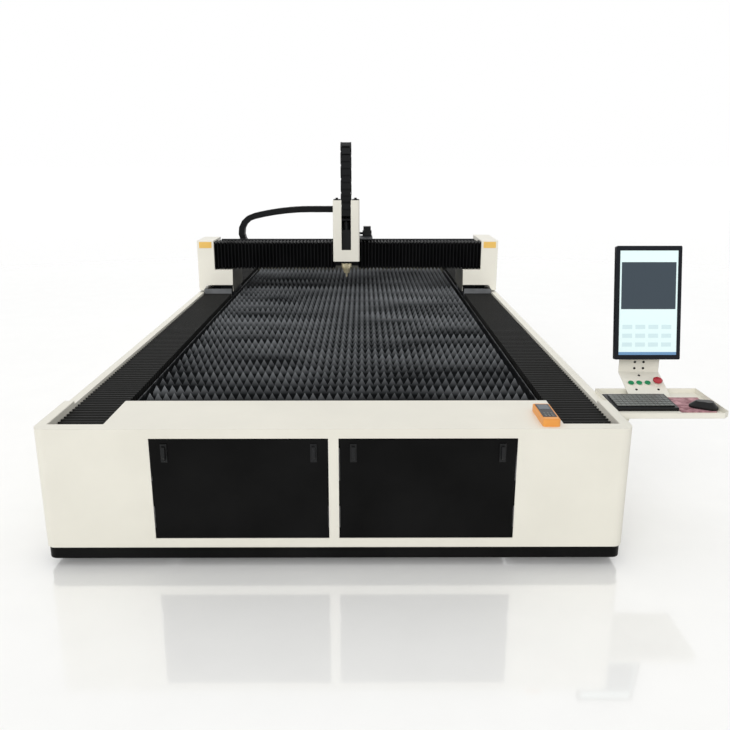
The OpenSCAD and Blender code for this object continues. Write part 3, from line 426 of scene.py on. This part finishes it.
def bellows(node, folds, wall, across, up, along, cloth, hem_highlight):
    """Folded cloth in place of a CAD bellows.
    across, up and along map its section to the frame, along from the fixed to the moving end."""
    lo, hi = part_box(node)
    middle = (lo + hi) / 2
    size = hi - lo
    half = abs(size.dot(across)) / 2
    rise = abs(size.dot(up))
    length = abs(size.dot(along))
    origin = middle - along * (length / 2) - up * (rise / 2)
    count = 2 * folds
    step = length / count
    inner = half - FOLD_DEPTH - wall
    roof = rise - FOLD_DEPTH - wall

    def section(place, dip):
        wide = half - dip
        outline = [(-wide, 0), (-wide, rise - dip), (wide, rise - dip), (wide, 0)]
        outline += [(inner, 0), (inner, roof), (-inner, roof), (-inner, 0)]
        return [origin + across * a + up * b + along * place for a, b in outline]

    def sections(first, last):
        """Rings between two fold lines; each outer fold line is a flat hem, cut in half at both ends."""
        rings = []
        for i in range(first, last + 1):
            if i % 2:
                rings.append(section(i * step, FOLD_DEPTH))
                continue
            if i > first:
                rings.append(section((i - HEM) * step, 0.0))
            if i in (first, last):
                rings.append(section(i * step, 0.0))
            if i < last:
                rings.append(section((i + HEM) * step, 0.0))
        return rings

    marks = sorted({2 * round(part * folds) for part in LENGTHS})
    for number, (first, last) in enumerate(zip(marks, marks[1:])):
        rings = sections(first, last)
        points = [p for ring in rings for p in ring]
        faces = []
        highlight_flags = []
        for i in range(len(rings) - 1):
            flat = (rings[i][1] - rings[i + 1][1]).cross(along).length < 1e-6
            base = SECTION * i
            for k in range(SECTION):
                n = (k + 1) % SECTION
                faces.append((base + k, base + SECTION + k, base + SECTION + n, base + n))
                highlight_flags.append(flat and k in OUTER_SIDES)
        faces += [tuple(range(SECTION)), tuple(range(len(points) - SECTION, len(points)))]
        highlight_flags += [False, False]
        made = piece(f"{node}_cloth_{number}", points, faces, cloth)
        # The flat outer faces of the hems take the lighter grey: a painted highlight along each fold
        made.data.materials.append(FINISHES[hem_highlight])
        for polygon, highlit in zip(made.data.polygons, highlight_flags):
            polygon.material_index = 1 if highlit else 0
        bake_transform(made)
        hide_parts(node)


LANE_WALL = 0.004
BEAM_WALL = 0.002
for side in ("left", "right"):
    bellows(f"bellows_front_{side}", 96, LANE_WALL, X, Z, Y, "cloth", "hem_highlight")
    bellows(f"bellows_rear_{side}", 60, LANE_WALL, X, Z, -Y, "cloth", "hem_highlight")
bellows("beam_bellows_left", 35, BEAM_WALL, Z, -Y, X, "beam_cloth", "beam_hem_highlight")
bellows("beam_bellows_right", 36, BEAM_WALL, Z, -Y, -X, "beam_cloth", "beam_hem_highlight")


# Cable chains: overlapping links on arcs and straights, in runs split at the bend
CHAIN_WIDTH = 0.075
LINK_PITCH = 0.046
LINK_WALL = 0.005
LINK_PLAY = 0.0005
LINK_BAR = 0.004
BAR_REACH = 0.43
SHELF_REACH = 0.5
ROUND_STEPS = 10


def chain_link(start, end, side, width, thick, inset):
    """A link as (centre, points, faces): two round-ended side plates, two cross bars and a shelf."""
    ahead = (end - start).normalized()
    up = side.cross(ahead)
    radius = thick / 2
    centre = (start + end) / 2
    plate_out = width / 2 - inset
    plate_in = plate_out - LINK_WALL
    turns = [math.pi * (k / ROUND_STEPS - 0.5) for k in range(ROUND_STEPS + 1)]
    outline = [end + (ahead * math.cos(a) + up * math.sin(a)) * radius for a in turns]
    outline += [start - (ahead * math.cos(a) + up * math.sin(a)) * radius for a in turns]
    count = len(outline)
    points = []
    faces = []
    for sign in (-1, 1):
        first = len(points)
        for reach in (plate_in, plate_out):
            points += [p + side * (sign * reach) for p in outline]
        for k in range(count):
            n = (k + 1) % count
            faces.append((first + k, first + n, first + count + n, first + count + k))
        faces.append(tuple(first + k for k in reversed(range(count))))
        faces.append(tuple(first + count + k for k in range(count)))
    pitch = (end - start).length
    for level, reach in ((-1, BAR_REACH), (0, SHELF_REACH), (1, BAR_REACH)):
        first = len(points)
        middle = centre + up * (level * (radius - LINK_BAR / 2))
        spans = (ahead * (pitch * reach), side * plate_in, up * (LINK_BAR / 2))
        for x in (-1, 1):
            for y in (-1, 1):
                points += [middle + spans[0] * x + spans[1] * y + spans[2] * z for z in (-1, 1)]
        faces += [tuple(first + k for k in face) for face in BLOCK_FACES]
    return centre, points, faces


def links_along(path, count, side, thick):
    """A number of links along a path, with every other one inside its neighbours."""
    radius = thick / 2
    pitch = (count * LINK_PITCH - thick) / (count - 1)
    joints = [path(radius + pitch * i) for i in range(count)]
    insets = [i % 2 * (LINK_WALL + LINK_PLAY) for i in range(count)]
    spans = zip(joints, joints[1:], insets)
    return [chain_link(start, end, side, CHAIN_WIDTH, thick, inset) for start, end, inset in spans]


def run_of(name, links, node):
    """A run of a chain as one piece."""
    points = []
    faces = []
    for _, own_points, own_faces in links:
        faces += [tuple(len(points) + k for k in face) for face in own_faces]
        points += own_points
    made = piece(name, points, faces, "nylon")
    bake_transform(made)
    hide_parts(node)


BEAM_THICK = 0.044
BEAM_LINKS = 34
BEAM_STRAIGHT = 0.190
BEAM_WIDE = 1.800
BEAM_TURN = math.radians(14)
BEAM_TIGHT = 0.125
BEAM_BEND_DEPTH = 0.15
BEAM_HALF_RISE = 0.12
lo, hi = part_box("beam_chain")
beam_start = Vector((hi.x, (lo.y + hi.y) / 2, hi.z - BEAM_THICK / 2))


def beam_path(s):
    """A place along the beam chain: a straight, a wide arc, a tight arc and a straight on the tray."""
    wide_end = BEAM_STRAIGHT + BEAM_WIDE * BEAM_TURN
    tight_end = wide_end + BEAM_TIGHT * (math.pi - BEAM_TURN)
    x = -BEAM_STRAIGHT - BEAM_WIDE * math.sin(BEAM_TURN) + BEAM_TIGHT * math.sin(BEAM_TURN)
    z = -BEAM_WIDE * (1 - math.cos(BEAM_TURN)) - BEAM_TIGHT * math.cos(BEAM_TURN)
    if s < BEAM_STRAIGHT:
        return beam_start - X * s
    if s < wide_end:
        a = (s - BEAM_STRAIGHT) / BEAM_WIDE
        drop = BEAM_WIDE * (1 - math.cos(a))
        return beam_start - X * (BEAM_STRAIGHT + BEAM_WIDE * math.sin(a)) - Z * drop
    if s < tight_end:
        a = math.pi / 2 + BEAM_TURN + (s - wide_end) / BEAM_TIGHT
        return beam_start + X * (x + BEAM_TIGHT * math.cos(a)) + Z * (z + BEAM_TIGHT * math.sin(a))
    return beam_start + X * (x + s - tight_end) + Z * (z - BEAM_TIGHT)


links = links_along(beam_path, BEAM_LINKS, Y, BEAM_THICK)
bend_x = lo.x + BEAM_BEND_DEPTH
middle_z = lo.z + BEAM_HALF_RISE
upper = [link for link in links if link[0].x > bend_x and link[0].z > middle_z]
lower = [link for link in links if link[0].x > bend_x and link[0].z <= middle_z]
bend = [link for link in links if link[0].x <= bend_x]
run_of("beam_chain_upper", upper, "beam_chain")
run_of("beam_chain_lower", lower, "beam_chain")
run_of("beam_chain_bend", bend, "beam_chain")

HEAD_THICK = 0.035
HEAD_LINKS = 20
HEAD_RISE = 0.449
HEAD_BEND = 0.057
HEAD_BEND_DEPTH = 0.08
lo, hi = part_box("head_chain")
head_start = Vector(((lo.x + hi.x) / 2, lo.y + HEAD_THICK / 2, lo.z))


def head_path(s):
    """A place along the head chain: up from the slide, over and down to the cover."""
    over = HEAD_RISE + math.pi * HEAD_BEND
    if s < HEAD_RISE:
        return head_start + Z * s
    if s < over:
        a = math.pi - (s - HEAD_RISE) / HEAD_BEND
        top = HEAD_RISE + HEAD_BEND * math.sin(a)
        return head_start + Y * (HEAD_BEND + HEAD_BEND * math.cos(a)) + Z * top
    return head_start + Y * (2 * HEAD_BEND) + Z * (HEAD_RISE + over - s)


links = links_along(head_path, HEAD_LINKS, X, HEAD_THICK)
bend_z = hi.z - HEAD_BEND_DEPTH
middle_y = (lo.y + hi.y) / 2
front = [link for link in links if link[0].z < bend_z and link[0].y < middle_y]
back = [link for link in links if link[0].z < bend_z and link[0].y >= middle_y]
bend = [link for link in links if link[0].z >= bend_z]
run_of("head_chain_front", front, "head_chain")
run_of("head_chain_back", back, "head_chain")
run_of("head_chain_bend", bend, "head_chain")


# Monitor picture: plain fields of colour behind the glass
def glow(name, colour, strength):
    """A lit screen colour: smooth, with light of its own."""
    material = finish_of(name, colour, colour, 0.2)
    surface = material.node_tree.nodes["Principled BSDF"]
    surface.inputs["Emission Color"].default_value = linear(colour)
    surface.inputs["Emission Strength"].default_value = strength
    return material


FINISHES["lit_pale"] = glow("lit screen pale", "#C2D4D4", 0.53)
FINISHES["lit_slate"] = glow("lit screen slate", "#27343E", 0.35)
FINISHES["lit_blue"] = glow("lit screen blue", "#5E86AC", 0.3)
FINISHES["lit_grey"] = glow("lit screen grey", "#B2C6C9", 0.5)
SCREEN_TILT = math.radians(12)
MONITOR_THICK = 0.026
FIELD_THICK = 0.0004
GLASS_LO = Vector((0.016, 0.0, 0.020))
GLASS_HI = Vector((0.264, 0.0015, 0.465))
lo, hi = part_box("monitor")
screen_foot = Vector((lo.x, lo.y, lo.z + MONITOR_THICK * math.sin(SCREEN_TILT)))


def on_screen(p):
    """A point given across, into and up the tilted screen, in the frame."""
    y = p.y * math.cos(SCREEN_TILT) + p.z * math.sin(SCREEN_TILT)
    return screen_foot + Vector((p.x, y, p.z * math.cos(SCREEN_TILT) - p.y * math.sin(SCREEN_TILT)))


def field(name, left, right, foot, top, layer, finish):
    """A block of colour on the screen, placed by shares of its width and height."""
    size = GLASS_HI - GLASS_LO
    back = GLASS_HI.y - FIELD_THICK * layer
    low = (GLASS_LO.x + left * size.x, back - FIELD_THICK, GLASS_LO.z + foot * size.z)
    high = (GLASS_LO.x + right * size.x, back, GLASS_LO.z + top * size.z)
    return blocks(name, [(low, high)], finish, "bed", on_screen)


field("screen_ground", 0, 1, 0, 1, 0, "lit_pale")
field("screen_plot", 0.03, 0.97, 0.44, 0.89, 1, "lit_slate")
field("screen_bar", 0, 1, 0, 0.028, 1, "lit_blue")
for row in range(3):
    foot = 0.08 + 0.085 * row
    for column in range(4):
        left = 0.06 + 0.225 * column
        field(f"screen_key_{row}_{column}", left, left + 0.17, foot, foot + 0.04, 1, "lit_grey")

# Keyboard caps on their rows, each row a little higher than the one in front
KEY_ROWS = 6
KEY_COLUMNS = 12
KEY_PITCH = Vector((0.019, 0.022, 0.00075))
KEY_SIZE = Vector((0.017, 0.017, 0.0035))
FIRST_KEY = Vector((0.014, 0.013, 0.0175))
lo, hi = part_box("keyboard")
caps = []
for row in range(KEY_ROWS):
    for column in range(KEY_COLUMNS):
        places = Vector((column * KEY_PITCH.x, row * KEY_PITCH.y, row * KEY_PITCH.z))
        corner = lo + FIRST_KEY + places
        caps.append((corner, corner + KEY_SIZE))
blocks("key_caps", caps, "keys", "bed")

# Mouse on its pad
PAD_TOP = 0.0031
pad_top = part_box("mouse_set")[0].z + PAD_TOP
paint("mouse_set", "plastic", lambda face: face.center.z > pad_top)

# Screws on the sloped face of the console panel and on the upright behind it
PANEL_LIP = 0.014
PANEL_RUN = 0.158
PANEL_RISE = 0.063
PANEL_SHEET = 0.003
SCREW_RADIUS = 0.0055
SCREW_HEIGHT = 0.0016
FACE_SCREWS = ((0.043, 0.044), (0.137, 0.044), (0.082, 0.141))
lo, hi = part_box("console_panel")
slope = math.atan2(PANEL_RISE, PANEL_RUN)
panel_y = lo.y + PANEL_LIP
outward = Vector((0, -math.sin(slope), math.cos(slope)))


def on_panel(u, v):
    """A point on the sloped face of the panel, across and up it."""
    foot = Vector((lo.x + u, panel_y + v * math.cos(slope), lo.z + v * math.sin(slope)))
    return foot + outward * PANEL_SHEET


screws = [(on_panel(u, v), outward) for u, v in FACE_SCREWS]
plate_y = panel_y + PANEL_RUN - PANEL_SHEET
for u in (0.068, 0.106):
    for rise in (0.081, 0.109):
        screws.append((Vector((lo.x + u, plate_y, lo.z + rise)), -Y))
studs("panel_screws", screws, SCREW_RADIUS, SCREW_HEIGHT, "trim", "bed")

# Black plates, studs and a strip on top of the head cover
CAP_NEAR = 0.042
CAP_FAR = 0.090
CAP_THICK = 0.004
STRIP_HALF = 0.0335
STRIP_DROP = 0.0102
STRIP_PROUD = 0.0006
STUD_OUT = 0.066
STUD_IN = 0.040
lo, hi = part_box("head_cover")
middle_x = (lo.x + hi.x) / 2
plates = []
for side in (-1, 1):
    edges = sorted((middle_x + side * CAP_NEAR, middle_x + side * CAP_FAR))
    plates.append(((edges[0], lo.y + 0.004, hi.z), (edges[1], hi.y - 0.030, hi.z + CAP_THICK)))
blocks("cover_cap", plates, "trim", "carriage")
strip_lo = (middle_x - STRIP_HALF, lo.y - STRIP_PROUD, hi.z - STRIP_DROP)
strip_hi = (middle_x + STRIP_HALF, lo.y + 0.002, hi.z + STRIP_PROUD)
blocks("slot_strip", [(strip_lo, strip_hi)], "trim", "carriage")
feet = [Vector((middle_x + side * STUD_OUT, lo.y + STUD_IN, hi.z + CAP_THICK)) for side in (-1, 1)]
studs("cover_studs", [(foot, Z) for foot in feet], 0.010, 0.012, "trim", "carriage")

# Folded lips along the lanes' outer edges in both end casings, and end caps above the side covers
LANE_OUT = 1.0603
LANE_END = 2.296
LIP_SHEET = 0.0022
LIP_DROP = 0.0015
LIP_RISE = 0.045
CAP_X = (1.0635, 1.0965)
CAP_Y = (2.0205, 2.0225)
CAP_DROP = 0.0032
CAP_HEIGHT = 0.0116
lips = []
end_caps = []
for node, toward in (("front_casing", -1), ("rear_casing", 1)):
    lo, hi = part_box(node)
    lane_near = lo.y if toward > 0 else hi.y
    along_lane = sorted((lane_near, toward * LANE_END))
    cap_deep = sorted(toward * y for y in CAP_Y)
    cap_top = hi.z - CAP_DROP
    for side in (-1, 1):
        across = sorted((side * LANE_OUT, side * (LANE_OUT + LIP_SHEET)))
        lip_lo = (across[0], along_lane[0], LIP_FOOT + LIP_RISE)
        lips.append((lip_lo, (across[1], along_lane[1], hi.z - LIP_DROP)))
        across = sorted(side * x for x in CAP_X)
        cap_lo = (across[0], cap_deep[0], cap_top - CAP_HEIGHT)
        end_caps.append((cap_lo, (across[1], cap_deep[1], cap_top)))
blocks("lane_lips", lips, "cream", "bed")
blocks("casing_end_caps", end_caps, "cream", "bed")

# Handset: a dark plate with a window and rows of keys
PLATE_HALF = 0.026
WINDOW_HALF = 0.021
lo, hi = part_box("pendant")
middle_x = (lo.x + hi.x) / 2
plate_lo = (middle_x - PLATE_HALF, lo.y + 0.030, hi.z - 0.0020)
plate_hi = (middle_x + PLATE_HALF, hi.y - 0.012, hi.z + 0.0004)
blocks("handset_plate", [(plate_lo, plate_hi)], "plastic", "bed")
window_lo = (middle_x - WINDOW_HALF, hi.y - 0.072, hi.z - 0.0010)
window_hi = (middle_x + WINDOW_HALF, hi.y - 0.017, hi.z + 0.0008)
blocks("handset_window", [(window_lo, window_hi)], "lit_slate", "bed")
rubber = []
for row in range(3):
    for column in range(3):
        rubber.append((Vector((middle_x + 0.013 * (column - 1), lo.y + 0.040 + 0.016 * row, hi.z)), Z))
studs("handset_keys", rubber, 0.0045, 0.0015, "keys", "bed")


# Studio
def seen_level(tree, unseen, seen):
    """A strength that differs between what eye, gloss and glass see and what lights other surfaces."""
    rays = add(tree, "ShaderNodeLightPath").outputs
    views = {0: rays["Is Camera Ray"], 1: rays["Is Glossy Ray"]}
    looks = add(tree, "ShaderNodeMath", views, operation="MAXIMUM")
    views = {0: looks.outputs[0], 1: rays["Is Transmission Ray"]}
    looks = add(tree, "ShaderNodeMath", views, operation="MAXIMUM")
    levels = {"Value": looks.outputs[0], "To Min": unseen, "To Max": seen}
    return add(tree, "ShaderNodeMapRange", levels).outputs["Result"]


# Polished pale floor: mirrors the casing faintly and keeps its shadow
floor_finish = finish_of("pale studio floor", "#FAFAF8", "#F8F8F6", 0.05, coat=1.0, shine=1.0)
floor_tree = floor_finish.node_tree
floor_surface = floor_tree.nodes["Principled BSDF"]
floor_surface.inputs["Emission Color"].default_value = linear("#FFFFFF")
floor_tree.links.new(seen_level(floor_tree, 0.0, 0.07), floor_surface.inputs["Emission Strength"])
bpy.ops.mesh.primitive_plane_add(size=120, location=(0, 40, 0))
floor = bpy.context.object
floor.name = "studio_floor"
floor.data.materials.append(floor_finish)


def lamp(name, kind, place, aim, power):
    """A soft light that points at a place."""
    data = bpy.data.lights.new(name, kind)
    data.energy = power
    made = bpy.data.objects.new(name, data)
    made.location = place
    made.rotation_euler = (Vector(aim) - Vector(place)).to_track_quat("-Z", "Y").to_euler()
    made.visible_glossy = False
    scene.collection.objects.link(made)
    return data


overhead = lamp("overhead_light", "AREA", (0.0, -0.5, 5.0), (0.0, 0.0, 0.0), 40)
overhead.shape = "RECTANGLE"
overhead.size = 5.0
overhead.size_y = 7.0
front_light = lamp("front_light", "SUN", (-4.5, -10.0, 4.2), (0.0, 0.0, 0.0), 1.1)
front_light.angle = math.radians(40)
# The dark bed throws no light back at the gantry; this soft spot makes up for it
gantry_light = lamp("gantry_light", "SPOT", (0.0, -3.5, 3.0), (0.0, 0.6, 1.0), 120)
gantry_light.spot_size = math.radians(46)
gantry_light.spot_blend = 0.6
gantry_light.shadow_soft_size = 0.6
world = bpy.data.worlds.new("studio")
scene.world = world
world.use_nodes = True
sky = world.node_tree.nodes["Background"]
sky.inputs["Color"].default_value = linear("#FFFFFF")
world.node_tree.links.new(seen_level(world.node_tree, 0.73, 1.0), sky.inputs["Strength"])
